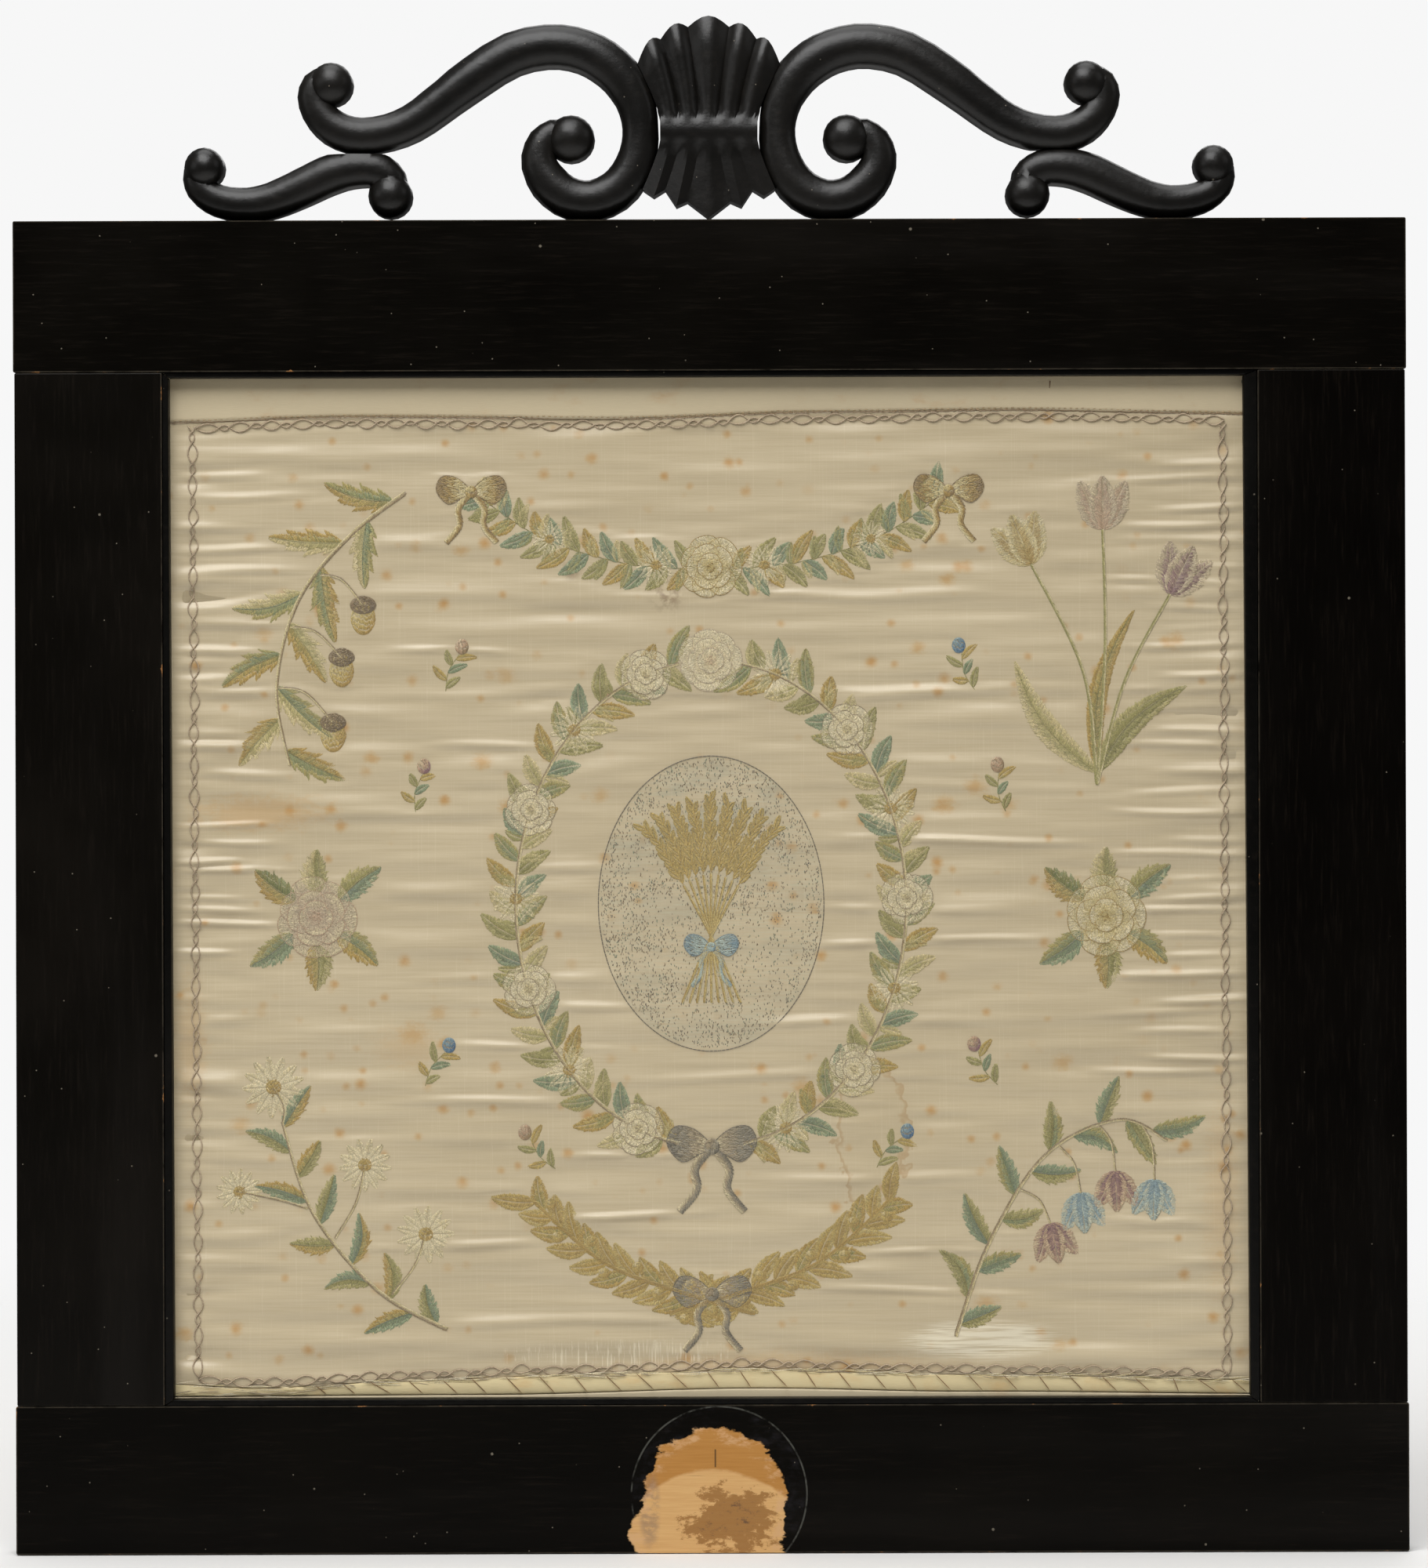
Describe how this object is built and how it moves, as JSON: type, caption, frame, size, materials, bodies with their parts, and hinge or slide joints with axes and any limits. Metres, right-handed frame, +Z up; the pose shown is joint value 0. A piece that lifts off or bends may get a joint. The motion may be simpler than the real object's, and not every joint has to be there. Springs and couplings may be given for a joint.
{
  "type": "framed silk embroidery in its black board frame",
  "caption": "Old silk embroidery of birds, fruit sprays and a flower basket in an ebonised board frame, with a carved crest of scrolls around a shell.",
  "frame": {"origin": "under the middle of the bottom rail, at mid thickness, on the surface that it stands on", "axes": "+Z up, +X to the right as seen from the front, +Y to the back, so that the picture faces -Y"},
  "size_m": [0.64, 0.022, 0.7067],
  "materials": {
    "ebonised_wood": "semi-gloss black lacquer, rubbed through at some edges",
    "slip_wood": "gloss black",
    "silk": "satin-woven silk with a soft sheen",
    "heading_cloth": "plain-woven, matt",
    "tape_cloth": "matt, aged to cream yellow",
    "border_thread": "twisted silk thread",
    "board": "sawn, bare"
  },
  "bodies": {
    "root": {"rail_bottom": "ebonised_wood", "rail_top": "ebonised_wood", "stile_left": "ebonised_wood", "stile_right": "ebonised_wood", "slip_top": "slip_wood", "slip_bottom": "slip_wood", "slip_left": "slip_wood", "slip_right": "slip_wood", "silk_panel": "silk", "heading_strip": "heading_cloth", "hem_tape": "tape_cloth", "foot_strip": "heading_cloth", "border_top": "border_thread", "border_bottom": "border_thread", "border_left": "border_thread", "border_right": "border_thread", "backboard": "board", "crest_scroll_left": "ebonised_wood", "crest_branch_left": "ebonised_wood", "crest_scroll_right": "ebonised_wood", "crest_branch_right": "ebonised_wood", "crest_shell": "ebonised_wood"}
  },
  "joints": []
}
